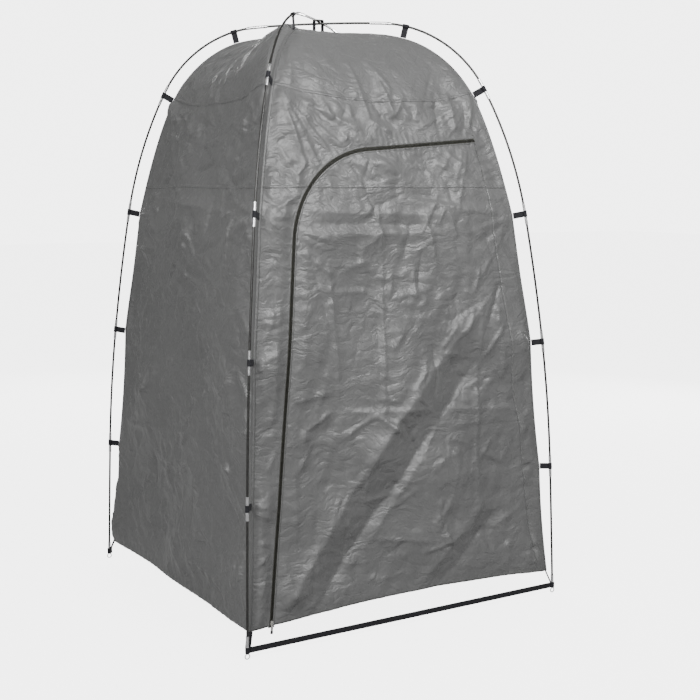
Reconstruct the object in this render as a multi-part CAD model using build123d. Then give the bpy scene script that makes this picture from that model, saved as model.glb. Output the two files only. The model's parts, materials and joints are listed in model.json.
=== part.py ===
"""Privacy shower tent: two crossed folding poles carry a four-walled fabric cabin with a zipped door.

Millimetres, +Z up. The origin is on the ground at the centre of the four feet. The door is in the
front wall, which faces -Y. The upper pole runs from the front left foot to the back right foot and
passes over the lower pole at the crown.
"""
from math import cos, hypot, radians, sin, sqrt, tan
import os

from build123d import *

# Overall size
tent_height = 2100.0
hem_height = 85.0
wall_seam_height = 1504.0
roof_seam_height = 1800.0

# Poles: eleven sections each, every section bent to one even arc
section_length = 464.6
section_count = 11
# Bend of each section in degrees, from half of the middle one down to the one at the foot
section_bends = (2.5, 59.0, 17.5, 3.5, 4.5, 0.5)
rod_diameter = 8.0
rod_bore = 5.0
cord_diameter = 3.0
knot_diameter = 4.6
rod_end_gap = 0.5
ferrule_diameter = 10.3
ferrule_bore = 8.2
ferrule_length = 78.0
tip_length = 45.0
tip_rod_depth = 20.0
pole_drop = rod_diameter + 0.5

# Foot pins: a rod that slips into the pole tip, with a ring bent at its lower end
pin_diameter = 5.0
pin_bore = 5.1
pin_depth = 22.0
ring_diameter = 20.0
ring_wire = 3.5
# The inside of the ring is flattened to a short round bore
ring_bore = 13.6

# Webbing
webbing_thickness = 1.6
tab_width = 22.0
tab_slack = 0.3
tongue_thickness = 2.4
tongue_seat = 0.2
tongue_clearance = 1.8
sleeve_bore = ferrule_diameter + 1.6
sleeve_height = 20.0
sleeve_bottom = 20.5
corner_webbing_width = 20.0
crown_strap_thickness = 1.5
crown_strap_width = 20.0
crown_strap_half = 16.5

# Fabric
fabric_thickness = 1.0
corner_gap_foot = 22.0
corner_gap_knee = 42.0
corner_gap_wall = 46.0
hem_depth = 14.0
hem_thickness = 0.8
wall_reach = 760.0

# Door outline on the front wall, as seen from the front: across and up
zip_start = (-545.0, hem_height)
zip_corner = (-355.4, 1603.0)
zip_end = (376.0, 1665.0)
zip_bend_radius = 340.0
hinge_bottom = (571.0, hem_height)
hinge_top = (378.0, 1665.0)
hinge_gap = 1.5

# Zip
tape_outer = 6.0
tape_inner = 1.5
coil_outer = 3.0
coil_inner = 0.6
coil_height = 2.0
slider_height = 100.0
slider_width = 11.0
slider_length = 16.0
slider_plate = 1.4
slider_coil_gap = 0.5
slider_bridge = 0.7
bail_width = 3.0
bail_length = 7.0
bail_bore = 1.6
bail_height = 4.4
bail_seat = 0.2
pull_bar_radius = 1.5
pull_width = 8.4
pull_arm_length = 8.0
pull_plate_length = 16.0
pull_tip_length = 11.0
pull_thickness = 1.6

half_slope = sqrt(2.0)
sleeve_radius = sleeve_bore / 2 + webbing_thickness
arms = {"front_left": 225.0, "back_right": 45.0, "back_left": 135.0, "front_right": 315.0}
crown_height = tent_height - crown_strap_thickness - tab_slack - rod_diameter / 2
pole_arms = {"upper": ("front_left", "back_right", 0.0), "lower": ("back_left", "front_right", pole_drop)}
walls = {"right": 0.0, "back": 90.0, "left": 180.0, "front": 270.0}


def arch_at(distance):
    """Reach from the centre, height and fall angle (radians) at a distance along the pole from the crown."""
    reach, height, fall, left = 0.0, crown_height, 0.0, distance
    for index, bend in enumerate(section_bends):
        length = section_length / 2 if index == 0 else section_length
        run = min(left, length)
        curve = radians(bend) / length
        after = fall + curve * run
        reach += (sin(after) - sin(fall)) / curve
        height += (cos(after) - cos(fall)) / curve
        fall = after
        left -= run
        if left <= 0:
            break
    return reach, height, fall


pole_half = section_length * section_count / 2
foot_reach, foot_height, foot_fall = arch_at(pole_half)


def arm_plane(angle):
    """Upright plane through the centre line of the tent, with its X axis along one arm."""
    across = Vector(cos(radians(angle)), sin(radians(angle)), 0)
    return Plane(origin=(0, 0, 0), x_dir=across, z_dir=across.cross(Vector(0, 0, 1)))


def arm_point(angle, distance, drop):
    reach, height, fall = arch_at(distance)
    return arm_plane(angle).from_local_coords(Vector(reach, height - drop, 0))


def pole_arc(angle, near, far, drop):
    """Arc of a pole between two distances from the crown that lie in one section."""
    return ThreePointArc(*[arm_point(angle, mark, drop) for mark in (near, (near + far) / 2, far)])


def crown_arc(angle, reach, drop):
    """Arc over the crown that runs the same distance down both arms."""
    top = Vector(0, 0, crown_height - drop)
    return ThreePointArc(arm_point(angle, reach, drop), top, arm_point(angle + 180, reach, drop))


def tube(path, outer, inner):
    """Round tube along a path; an inner diameter of 0 makes a solid rod."""
    section = Plane(origin=path @ 0, z_dir=path % 0)
    face = Circle(outer / 2) - Circle(inner / 2) if inner else Circle(outer / 2)
    return sweep(section * face, path=path)


def rod_section(pole, number):
    """One pole section; number 1 is at the foot of the pole's first arm and 11 at its far foot."""
    first, second, drop = pole_arms[pole]
    middle = section_count // 2 + 1
    if number == middle:
        half = section_length / 2 - rod_end_gap / 2
        return tube(crown_arc(arms[first], half, drop), rod_diameter, rod_bore)
    arm = first if number < middle else second
    step = abs(middle - number)
    near = section_length * (step - 0.5) + rod_end_gap / 2
    far = section_length * (step + 0.5) - rod_end_gap / 2
    if step == middle - 1:
        far = pole_half - tip_length + tip_rod_depth
    return tube(pole_arc(arms[arm], near, far, drop), rod_diameter, rod_bore)


def ferrules(pole):
    """The ten metal sleeves over a pole's section joints."""
    first, second, drop = pole_arms[pole]
    made = []
    for arm in (first, second):
        for step in range(section_count // 2):
            joint = section_length * (step + 0.5)
            above = pole_arc(arms[arm], joint - ferrule_length / 2, joint, drop)
            below = pole_arc(arms[arm], joint, joint + ferrule_length / 2, drop)
            made.append(tube(Wire([above.edge(), below.edge()]), ferrule_diameter, ferrule_bore))
    return made


def pole_tip(arm, drop):
    """Metal end tube: its upper bore holds the last rod and its lower bore takes the foot pin."""
    shoulder = pole_half - tip_length + tip_rod_depth
    upper_arc = pole_arc(arms[arm], pole_half - tip_length, shoulder, drop)
    upper = tube(upper_arc, ferrule_diameter, ferrule_bore)
    lower = tube(pole_arc(arms[arm], shoulder, pole_half, drop), ferrule_diameter, pin_bore)
    return upper + lower


def shock_cord(pole):
    """Elastic cord through all the rods of one pole, with a knot at each end."""
    first, second, drop = pole_arms[pole]
    end = pole_half - tip_length + tip_rod_depth - knot_diameter
    edges = []
    for arm in (first, second):
        marks = [section_length * (step + 0.5) for step in range(section_count // 2)] + [end]
        arcs = [pole_arc(arms[arm], near, far, drop).edge() for near, far in zip(marks, marks[1:])]
        edges.append(arcs)
    middle = crown_arc(arms[first], section_length / 2, drop).edge()
    path = Wire(list(reversed(edges[0])) + [middle] + edges[1])
    cord = tube(path, cord_diameter, 0)
    for arm in (first, second):
        cord += Pos(arm_point(arms[arm], end, drop)) * Sphere(knot_diameter / 2)
    return cord


def foot_pin(arm, drop):
    """Steel pin along the pole's end, running down into an upright ring that stands on the ground."""
    angle = arms[arm]
    lean = tan(radians(90) - foot_fall)
    ring_centre = ring_diameter / 2
    seat = arm_point(angle, pole_half, drop)
    top_reach = foot_reach - pin_depth * lean
    top = arm_plane(angle).from_local_coords(Vector(top_reach, foot_height - drop + pin_depth, 0))
    low_z = ring_diameter - ring_wire / 2
    low_reach = foot_reach + (foot_height - drop - low_z) * lean
    low = arm_plane(angle).from_local_coords(Vector(low_reach, low_z, 0))
    rod = tube(Line(low, top), pin_diameter, 0)
    collar_base = arm_plane(angle).from_local_coords(Vector(foot_reach + lean, foot_height - drop - 1.0, 0))
    collar = tube(Line(collar_base, seat), ferrule_diameter - 1.0, 0)
    wire = Torus((ring_diameter - ring_wire) / 2, ring_wire / 2) - Cylinder(ring_bore / 2, ring_wire * 2)
    ring = Pos(low.X, low.Y, ring_centre) * Rot(90, 0, 0) * wire
    return rod + collar + ring


def foot_sleeve(arm):
    """Upright webbing sleeve round the foot of a pole, above the pin's ring."""
    centre = arm_plane(arms[arm]).from_local_coords(Vector(foot_reach, 0, 0))
    tube_face = Circle(sleeve_radius) - Circle(sleeve_bore / 2)
    return Pos(centre.X, centre.Y, sleeve_bottom) * extrude(tube_face, sleeve_height)


def corner_webbing(arm):
    """Webbing from a bottom corner of the fabric down to the sleeve round the pole's foot."""
    bottom_reach = foot_reach - sleeve_radius + webbing_thickness / 2
    top_reach = skin_point(0)[0] * half_slope - corner_webbing_width / 4
    outline = Polyline(
        (bottom_reach - webbing_thickness, sleeve_bottom),
        (bottom_reach, sleeve_bottom),
        (bottom_reach, sleeve_bottom + sleeve_height),
        (top_reach, hem_height),
        (top_reach - webbing_thickness, hem_height),
        (bottom_reach - webbing_thickness, sleeve_bottom + sleeve_height),
        close=True,
    )
    strap = extrude(arm_plane(arms[arm]) * make_face(outline), corner_webbing_width / 2, both=True)
    return strap + foot_sleeve(arm)


def threshold_strap():
    """Strap across the doorway between the two front feet, standing on its edge."""
    foot = foot_reach / half_slope
    reach = foot - sleeve_radius
    strap = Box(2 * reach, webbing_thickness, sleeve_height)
    return Pos(0, -foot, sleeve_bottom + sleeve_height / 2) * strap


def pole_tab(arm, distance, drop):
    """Webbing tab: a loop round the pole and a tongue to the fabric's edge."""
    reach, height, fall = arch_at(distance)
    angle = arms[arm]
    plane = arm_plane(angle)
    centre = plane.from_local_coords(Vector(reach, height - drop, 0))
    along = plane.from_local_coords(Vector(cos(fall), -sin(fall), 0))
    edge = plane.from_local_coords(Vector(*corner_point(distance), 0))
    loop_plane = Plane(origin=centre, x_dir=(edge - centre), z_dir=along)
    inner = ferrule_diameter / 2 + tab_slack
    ring = Circle(inner + webbing_thickness) - Circle(inner)
    loop = extrude(loop_plane * ring, tab_width / 2, both=True)
    tongue_length = (edge - centre).length - inner - tongue_seat - tongue_clearance
    tongue = Box(tongue_length, tongue_thickness, tab_width)
    return loop + loop_plane * Pos(inner + tongue_seat + tongue_length / 2, 0, 0) * tongue


def crown_strap():
    """Webbing loop from the top of the roof round both poles where they cross."""
    top = crown_height + rod_diameter / 2 + tab_slack
    bottom = skin_crown() + fabric_thickness / 2 + 0.2
    width = 2 * (crown_strap_half + crown_strap_thickness)
    centre_z = (top + bottom) / 2 + crown_strap_thickness / 2
    outer = RectangleRounded(width, top + crown_strap_thickness - bottom, 6.0)
    inner = RectangleRounded(
        width - 2 * crown_strap_thickness, top - bottom - crown_strap_thickness, 6.0 - crown_strap_thickness
    )
    ring = extrude(Plane.XZ * (outer - inner), crown_strap_width / 2, both=True)
    return Pos(0, 0, centre_z) * ring


def corner_gap(distance):
    """Distance from the pole's centre line in to the fabric's corner edge."""
    from_foot = (pole_half - distance) / section_length
    share = min(max((from_foot - 2.0) / 1.0, 0.0), 1.0)
    return corner_gap_knee + (corner_gap_wall - corner_gap_knee) * share


def corner_point(distance):
    """Reach and height of the fabric's corner edge beside a point of the pole."""
    reach, height, fall = arch_at(distance)
    height -= pole_drop / 2
    gap = corner_gap(distance)
    knee_reach, knee_height = knee_point()
    if height < knee_height:
        foot = foot_reach - corner_gap_foot
        share = (height - hem_height) / (knee_height - hem_height)
        return foot + (knee_reach - foot) * share, height
    return reach - gap * sin(fall), height - gap * cos(fall)


def knee_point():
    """Reach and height where the straight lower part of the walls ends, beside the second pole joint."""
    reach, height, fall = arch_at(pole_half - 2 * section_length)
    return reach - corner_gap_knee * sin(fall), height - pole_drop / 2 - corner_gap_knee * cos(fall)


def skin_points(offset):
    """Points of the wall profile from below the hem to the crown: distance from the centre, height."""
    foot = (foot_reach - corner_gap_foot) / half_slope
    knee_reach, knee_height = knee_point()
    knee = knee_reach / half_slope
    slope = hypot(foot - knee, knee_height - hem_height)
    normal = ((knee_height - hem_height) / slope, (foot - knee) / slope)
    extend = 30.0
    down = (extend * (foot - knee) / slope, -extend * (knee_height - hem_height) / slope)
    points = [
        (foot + down[0] + normal[0] * offset, hem_height + down[1] + normal[1] * offset),
        (knee + normal[0] * offset, knee_height + normal[1] * offset),
    ]
    for joint in (2.5, 3.0, 3.5, 4.0, 4.25, 4.5, 4.75, 5.0, 5.5):
        distance = pole_half - joint * section_length
        fall = arch_at(distance)[2]
        reach, height = corner_point(distance)
        length = hypot(sin(fall), cos(fall) / half_slope)
        out, up = sin(fall) / length, cos(fall) / half_slope / length
        if joint == 5.5:
            out, up = 0.0, 1.0
        points.append((reach / half_slope + out * offset, height + up * offset))
    return points


def skin_point(offset):
    """Wall distance from the centre at the hem's height."""
    low, knee = skin_points(offset)[:2]
    share = (hem_height - low[1]) / (knee[1] - low[1])
    return low[0] + (knee[0] - low[0]) * share, hem_height


def skin_crown():
    return skin_points(0)[-1][1]


def skin_curve(offset):
    """Straight lower wall, then one smooth curve up to the crown."""
    points = skin_points(offset)
    start = Vector(*points[1]) - Vector(*points[0])
    lower = Line(points[0], points[1])
    upper = Spline(points[1:], tangents=(start.normalized(), Vector(-1, 0.02)))
    return lower, upper


def skin_shell(wall, inner, outer):
    """Closed sheet of one wall and its roof gore between two offsets from the middle of the cloth."""
    outer_curve = skin_curve(outer)
    inner_curve = skin_curve(inner)
    top = Line(outer_curve[1] @ 1, inner_curve[1] @ 1)
    bottom = Line(outer_curve[0] @ 0, inner_curve[0] @ 0)
    profile = make_face([outer_curve[0], outer_curve[1], top, inner_curve[1], inner_curve[0], bottom])
    sheet = extrude(Plane.XZ * profile, wall_reach, both=True)
    wedge = extrude(make_face(Polyline((0, 0), (900, -900), (900, 900), close=True)), 2200)
    return Rot(0, 0, walls[wall]) * (sheet & wedge)


def band(low, high):
    """Level slab as large as the tent, for cutting out one height of a wall."""
    return Pos(0, 0, (low + high) / 2) * Box(2000, 2000, high - low)


def cloth(wall, low, high):
    half = fabric_thickness / 2
    return skin_shell(wall, -half, half) & band(low, high)


def hem_strip(wall):
    inner = -fabric_thickness / 2 - hem_thickness
    return skin_shell(wall, inner, -fabric_thickness / 2) & band(hem_height, hem_height + hem_depth)


def unit(start, end):
    length = hypot(end[0] - start[0], end[1] - start[1])
    return (end[0] - start[0]) / length, (end[1] - start[1]) / length


def zip_points(inset):
    """The zip's line moved into the door by an inset, as start, corner and end points."""
    rise = unit(zip_start, zip_corner)
    across = unit(zip_corner, zip_end)
    into_rise = (rise[1], -rise[0])
    into_across = (across[1], -across[0])
    join = inset / (1 + into_rise[0] * into_across[0] + into_rise[1] * into_across[1])
    start_x = zip_start[0] + inset / rise[1]
    start = (start_x - hem_height * rise[0] / rise[1], 0.0)
    corner_x = zip_corner[0] + (into_rise[0] + into_across[0]) * join
    corner_z = zip_corner[1] + (into_rise[1] + into_across[1]) * join
    end = (zip_end[0] + into_across[0] * inset, zip_end[1] + into_across[1] * inset)
    return start, (corner_x, corner_z), end


def zip_path(inset):
    return FilletPolyline(*zip_points(inset), radius=zip_bend_radius - inset)


def front_prism(lines):
    """Prism through the front wall over a closed outline seen from the front."""
    outline = Plane.XZ * make_face(lines)
    return Pos(0, -300, 0) * extrude(outline, 500)


def door_prism(inset, edge_gap):
    """Prism over the door's outline; the edge gap is taken off along the hinge line."""
    lean = (hinge_top[0] - hinge_bottom[0]) / (hinge_top[1] - hinge_bottom[1])
    start, corner, end = zip_points(inset)
    right = hinge_bottom[0] + lean * (end[1] - hem_height) - edge_gap
    floor_x = hinge_bottom[0] - lean * hem_height - edge_gap
    path = zip_path(inset)
    edge = Polyline(path @ 1, (right, end[1]), (floor_x, 0.0), path @ 0)
    return front_prism([path, edge])


def zip_strip(first, second, low, high):
    """Strip between two insets of the zip's line, at a height above the middle of the cloth."""
    path_a = zip_path(first)
    path_b = zip_path(second)
    prism = front_prism([path_a, Line(path_a @ 1, path_b @ 1), path_b, Line(path_a @ 0, path_b @ 0)])
    return skin_shell("front", low, high) & prism & band(hem_height, roof_seam_height)


def zip_frame():
    """Plane on the zip's line at the slider: X across the zip, Y up it, Z out of the wall."""
    low, knee = skin_points(0)[:2]
    lean_back = -(knee[0] - low[0]) / (knee[1] - low[1])
    rise = unit(zip_start, zip_corner)
    up = Vector(rise[0] / rise[1], lean_back, 1).normalized()
    out = Vector(0, -1, lean_back).normalized()
    share = (slider_height - low[1]) / (knee[1] - low[1])
    depth = low[0] + (knee[0] - low[0]) * share
    across = zip_start[0] + (slider_height - hem_height) * rise[0] / rise[1]
    return Plane(origin=(across, -depth, slider_height), x_dir=up.cross(out), z_dir=out)


plate_base = coil_height + slider_coil_gap
hinge_rise = plate_base + slider_plate + bail_bore + 0.9


def slider():
    """Zip slider: a plate on each side of the zip, a thin bridge between the coils, and a bail."""
    plate = RectangleRounded(slider_width, slider_length, 3.0)
    front_plate = Pos(0, 0, plate_base) * extrude(plate, slider_plate)
    back_base = -fabric_thickness / 2 - slider_coil_gap - slider_plate
    back_plate = Pos(0, 0, back_base) * extrude(plate, slider_plate)
    bridge_height = plate_base - back_base
    bridge_length = slider_length * 0.3
    bridge = Pos(0, slider_length * 0.3, back_base + bridge_height / 2) * Box(
        slider_bridge, bridge_length, bridge_height
    )
    bail_foot = RectangleRounded(bail_width, bail_length, 1.0)
    bail = Pos(0, 0, plate_base + slider_plate - bail_seat) * extrude(bail_foot, bail_height)
    hole = Pos(0, 0, hinge_rise) * Rot(0, 90, 0) * Cylinder(bail_bore, bail_width * 2)
    return zip_frame() * (front_plate + back_plate + bridge + (bail - hole))


def pull():
    """Pull tab: a cross bar through the slider's bail, two arms and a flat plate."""
    bar = Rot(0, 90, 0) * Cylinder(pull_bar_radius, pull_width)
    frame = bar
    for side in (-1, 1):
        across = side * (pull_width / 2 - 1.0)
        frame += Pos(across, -pull_arm_length / 2, 0) * Box(2.0, pull_arm_length, pull_thickness)
    plate = Box(pull_width, pull_plate_length, pull_thickness)
    frame += Pos(0, -pull_arm_length - pull_plate_length / 2, 0) * plate
    return zip_frame() * Pos(0, 0, hinge_rise) * frame


def pull_tip():
    """Moulded tip over the pull tab's lower end."""
    start = -pull_arm_length - pull_plate_length
    block = Box(pull_width + 0.6, pull_tip_length, pull_thickness + 1.0)
    body = Pos(0, start - pull_tip_length / 2, 0) * block
    rounded = fillet(body.edges().filter_by(Axis.Z), 2.5)
    return zip_frame() * Pos(0, 0, hinge_rise) * rounded


def save(name, shapes):
    """Write one node's solids as one STEP file."""
    solids = []
    for shape in shapes if isinstance(shapes, list) else [shapes]:
        solids += shape.solids()
    export_step(Compound(children=solids) if len(solids) > 1 else solids[0], f"parts/{name}.step")


def save_poles():
    for pole, (first, second, drop) in pole_arms.items():
        for number in range(1, section_count + 1):
            save(f"{pole}_pole_section_{number:02d}", rod_section(pole, number))
        save(f"{pole}_pole_ferrules", ferrules(pole))
        save(f"{pole}_pole_shock_cord", shock_cord(pole))
    tips = []
    for first, second, drop in pole_arms.values():
        for arm in (first, second):
            tips.append(pole_tip(arm, drop))
            save(f"foot_pin_{arm}", foot_pin(arm, drop))
    save("pole_tips", tips)


def save_webbing():
    joints = [step + 0.5 for step in range(1, 5)]
    wall_tabs = []
    roof_tabs = []
    for first, second, drop in pole_arms.values():
        for arm in (first, second):
            wall_tabs += [pole_tab(arm, section_length * joint, drop) for joint in joints]
            roof_tabs.append(pole_tab(arm, section_length * 0.7, drop))
    save("wall_pole_tabs", wall_tabs)
    save("roof_pole_tabs", roof_tabs)
    save("crown_strap", crown_strap())
    save("corner_webbing", [corner_webbing(arm) for arm in arms])
    save("threshold_strap", threshold_strap())


def save_fabric():
    crown = tent_height + 100
    for wall in ("left", "back", "right"):
        save(f"wall_{wall}_lower", cloth(wall, hem_height, wall_seam_height))
        save(f"wall_{wall}_upper", cloth(wall, wall_seam_height, roof_seam_height))
    for wall in walls:
        save(f"roof_{wall}", cloth(wall, roof_seam_height, crown))
    opening = door_prism(-tape_outer, -hinge_gap)
    leaf = door_prism(tape_outer, hinge_gap)
    lower = cloth("front", hem_height, wall_seam_height)
    upper = cloth("front", wall_seam_height, roof_seam_height)
    strips = (lower - opening).solids().sort_by(Axis.X)
    save("front_left_strip", strips[0])
    save("front_right_strip", strips[-1])
    save("front_top_panel", upper - opening)
    save("door_lower_panel", lower & leaf)
    save("door_upper_panel", upper & leaf)
    hem = hem_strip("front")
    plain_hems = [hem_strip(wall) for wall in ("left", "back", "right")]
    save("wall_hem", plain_hems + [hem - door_prism(-tape_outer - 1, -hinge_gap)])
    save("door_hem", hem & door_prism(tape_outer + 1, hinge_gap))


def save_zip():
    half = fabric_thickness / 2
    save("zip_tape_frame", zip_strip(-tape_outer, -tape_inner, -half, half))
    save("zip_tape_door", zip_strip(tape_inner, tape_outer, -half, half))
    save("zip_coil_frame", zip_strip(-coil_outer, -coil_inner, half, coil_height))
    save("zip_coil_door", zip_strip(coil_inner, coil_outer, half, coil_height))
    save("zip_slider", slider())
    save("zip_pull", pull())
    save("zip_pull_tip", pull_tip())


os.makedirs("parts", exist_ok=True)
save_poles()
save_webbing()
save_fabric()
save_zip()
frame = zip_frame()
print("foot reach and height", foot_reach, foot_height, "lean", 90 - foot_fall * 57.29578)
print("zip frame origin", frame.origin, "across", frame.x_dir, "up", frame.y_dir, "out", frame.z_dir)
print("knee", knee_point(), "crown of the cloth", skin_crown(), "wall profile", skin_points(0))
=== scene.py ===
import json
import math

import bmesh
import bpy
import numpy as np
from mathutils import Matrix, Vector


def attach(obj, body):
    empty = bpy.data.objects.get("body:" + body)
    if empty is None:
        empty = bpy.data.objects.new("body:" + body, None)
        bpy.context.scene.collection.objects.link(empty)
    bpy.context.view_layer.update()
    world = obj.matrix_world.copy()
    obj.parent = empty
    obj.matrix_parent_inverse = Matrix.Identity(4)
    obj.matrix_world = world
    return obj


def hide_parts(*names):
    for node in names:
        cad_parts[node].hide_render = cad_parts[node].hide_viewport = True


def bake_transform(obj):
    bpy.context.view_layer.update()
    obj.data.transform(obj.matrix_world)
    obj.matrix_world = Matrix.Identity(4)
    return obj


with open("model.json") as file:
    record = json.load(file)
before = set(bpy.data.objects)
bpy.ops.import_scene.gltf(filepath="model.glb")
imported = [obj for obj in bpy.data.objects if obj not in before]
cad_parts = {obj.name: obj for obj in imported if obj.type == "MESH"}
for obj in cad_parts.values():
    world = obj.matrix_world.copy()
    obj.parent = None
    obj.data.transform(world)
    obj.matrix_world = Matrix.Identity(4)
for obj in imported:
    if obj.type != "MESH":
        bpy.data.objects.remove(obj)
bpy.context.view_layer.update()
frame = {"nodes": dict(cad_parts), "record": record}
print("frame loaded,", len(frame["nodes"]), "nodes")

# The camera, the lights and the floor.

cameraView = {
    "place": (-2.255, -3.952, 1.492),
    "pitch": -10.79,
    "turn": -31.16,
    "lens": 61.71,
    "sensor": 36.0,
    "shiftUp": 0.0986,
    "farthest": 100.0,
}
studio = {
    "skyColour": (1.0, 1.0, 1.0),
    "skyStrength": 0.16,
    "backdropStrength": 4.8,
    "floorGlow": 4.5,
    "floorColour": (0.28, 0.28, 0.28),
    "floorSize": 60.0,
    "floorRoughness": 0.9,
    "floorShine": 0.1,
    # place, point it looks at, size, power, colour
    "softboxes": {
        "softboxTop": ((0.20, -2.70, 3.1), (0.0, -0.4, 1.2), 1.2, 115.0, (1.0, 1.0, 1.0)),
        "softboxFront": ((-1.6, -6.5, 3.4), (0.0, -0.3, 1.1), 3.0, 45.0, (1.0, 1.0, 0.99)),
        "softboxLeft": ((-4.2, -2.6, 3.6), (-0.4, 0.0, 0.9), 1.8, 300.0, (1.0, 1.0, 1.0)),
        "softboxRight": ((4.8, 2.2, 1.9), (0.4, 0.0, 0.9), 2.0, 250.0, (1.0, 1.0, 1.0)),
        "softboxBack": ((1.2, 5.2, 2.3), (0.0, 0.4, 0.9), 2.0, 230.0, (1.0, 1.0, 1.0)),
    },
}


def addCamera():
    lens = bpy.data.cameras.new("studioCamera")
    lens.lens = cameraView["lens"]
    lens.sensor_width = cameraView["sensor"]
    lens.shift_y = cameraView["shiftUp"]
    lens.clip_end = cameraView["farthest"]
    camera = bpy.data.objects.new("studioCamera", lens)
    camera.location = cameraView["place"]
    level = 90  # a camera with no turn looks straight down
    camera.rotation_euler = (math.radians(level + cameraView["pitch"]), 0, math.radians(cameraView["turn"]))
    bpy.context.scene.collection.objects.link(camera)
    bpy.context.scene.camera = camera


def addSoftbox(name, place, target, size, power, colour):
    lamp = bpy.data.lights.new(name, "AREA")
    lamp.shape = "SQUARE"
    lamp.size = size
    lamp.energy = power
    lamp.color = colour
    box = bpy.data.objects.new(name, lamp)
    box.location = place
    box.rotation_euler = (Vector(target) - Vector(place)).to_track_quat("-Z", "Y").to_euler()
    bpy.context.scene.collection.objects.link(box)


# A strength that is higher where the camera looks straight at it than where it lights the tent.
def addSeenStrength(tree, unseen, seen):
    straight = tree.nodes.new("ShaderNodeLightPath").outputs["Is Camera Ray"]
    strength = tree.nodes.new("ShaderNodeMapRange")
    strength.inputs["To Min"].default_value = unseen
    strength.inputs["To Max"].default_value = seen
    tree.links.new(straight, strength.inputs["Value"])
    return strength.outputs["Result"]


def addStudio():
    world = bpy.data.worlds.new("paleStudio")
    world.use_nodes = True
    sky = world.node_tree.nodes["Background"]
    sky.inputs["Color"].default_value = (*studio["skyColour"], 1)
    strength = addSeenStrength(world.node_tree, studio["skyStrength"], studio["backdropStrength"])
    world.node_tree.links.new(strength, sky.inputs["Strength"])
    bpy.context.scene.world = world
    for name, values in studio["softboxes"].items():
        addSoftbox(name, *values)
    half = studio["floorSize"] / 2
    corners = [(-half, -half, 0), (half, -half, 0), (half, half, 0), (-half, half, 0)]
    mesh = bpy.data.meshes.new("floor")
    mesh.from_pydata(corners, [], [(0, 1, 2, 3)])
    floor = bpy.data.objects.new("floor", mesh)
    bpy.context.scene.collection.objects.link(floor)
    paint = bpy.data.materials.new("paleFloor")
    paint.use_nodes = True
    shader = paint.node_tree.nodes["Principled BSDF"]
    shader.inputs["Base Color"].default_value = (*studio["floorColour"], 1)
    shader.inputs["Roughness"].default_value = studio["floorRoughness"]
    shader.inputs["Specular IOR Level"].default_value = studio["floorShine"]
    shader.inputs["Emission Color"].default_value = (1, 1, 1, 1)
    glow = addSeenStrength(paint.node_tree, 0.0, studio["floorGlow"])
    paint.node_tree.links.new(glow, shader.inputs["Emission Strength"])
    mesh.materials.append(paint)


addCamera()
addStudio()
print("camera and studio made")

# The shape of the poles and the cloth. Distances are in metres.
poleShape = {
    "sectionLength": 0.4646,
    # degrees: half of the crown's section, then each one down to the foot's
    "bends": (2.5, 59.0, 17.5, 3.5, 4.5, 0.5),
    "crownHeight": 2.0942,
    "halfDrop": 0.00425,
    # from the pole in to the cloth's corner edge
    "gapFoot": 0.022, "gapKnee": 0.042, "gapWall": 0.046,
    "kneeJoint": 2.0,
    "knots": (2.5, 3.0, 3.5, 4.0, 4.25, 4.5, 4.75, 5.0, 5.5),  # in sections up from the foot
    "belowHem": 0.030,
    "crownSlope": (-1.0, 0.02),
    "straightSteps": 400,
    "curveSteps": 160,
}
cabin = {
    "hemHeight": 0.085,
    "wallSeamHeight": 1.504,
    "roofSeamCorner": 1.835,
    "roofSeamSag": 0.050,
    "roofSeamPower": 2.2,
    "frontHemBow": 0.026,
    "sideHemBow": 0.004,
    "tabHeights": (0.085, 0.485, 0.950, 1.405, 1.827, 2.0247),
    "scallop": 0.004,
    "scallopReach": 0.12,
    "fullScallopSpan": 0.45,
    "clothThickness": 0.0008,
    "gridStep": 0.0061,
}
doorLine = {
    "start": (-0.545, 0.085),
    "corner": (-0.3554, 1.603),
    "end": (0.376, 1.665),
    "bend": 0.340,
    "hingeBottom": (0.571, 0.085),
    "hingeTop": (0.378, 1.665),
    "tapeOuter": 0.0060,
    "tapeInner": 0.0001,
    "tapeLap": 0.0009,
    "blendWidth": 0.11,
    "wallPlace": -0.6,
    "finePoints": (520, 260, 260),  # in the rise, the bend and the top
    "trimPoints": (260, 130, 130),
    "searchStep": 6,
    "searchBatch": 20000,
}
wallTurns = {"front": 0, "right": 1, "back": 2, "left": 3}


def lerp(a, b, t):
    return a + (b - a) * t


# A smooth line through knots: cubic pieces whose slopes at the knots solve the even-bending equations,
# with the slopes at both ends given.
def smoothLine(knots, startSlope, endSlope):
    knots = np.array(knots, float)
    chord = np.linalg.norm(np.diff(knots, axis=0), axis=1)
    count = len(knots)
    system = np.eye(count)
    right = np.zeros((count, 2))
    right[0] = startSlope
    right[-1] = endSlope
    for k in range(1, count - 1):
        before, after = chord[k - 1], chord[k]
        system[k, k - 1:k + 2] = (1 / before, 2 / before + 2 / after, 1 / after)
        right[k] = 3 * ((knots[k] - knots[k - 1]) / before**2 + (knots[k + 1] - knots[k]) / after**2)
    slopes = np.linalg.solve(system, right)
    t = np.linspace(0, 1, poleShape["curveSteps"], endpoint=False)[:, None]
    pieces = []
    for k in range(count - 1):
        run = chord[k]
        low, high = knots[k], knots[k + 1]
        pieces.append(
            (1 + 2 * t) * (1 - t) ** 2 * low + t * (1 - t) ** 2 * run * slopes[k]
            + t**2 * (3 - 2 * t) * high - t**2 * (1 - t) * run * slopes[k + 1]
        )
    return np.vstack(pieces + [knots[-1:]])


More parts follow.
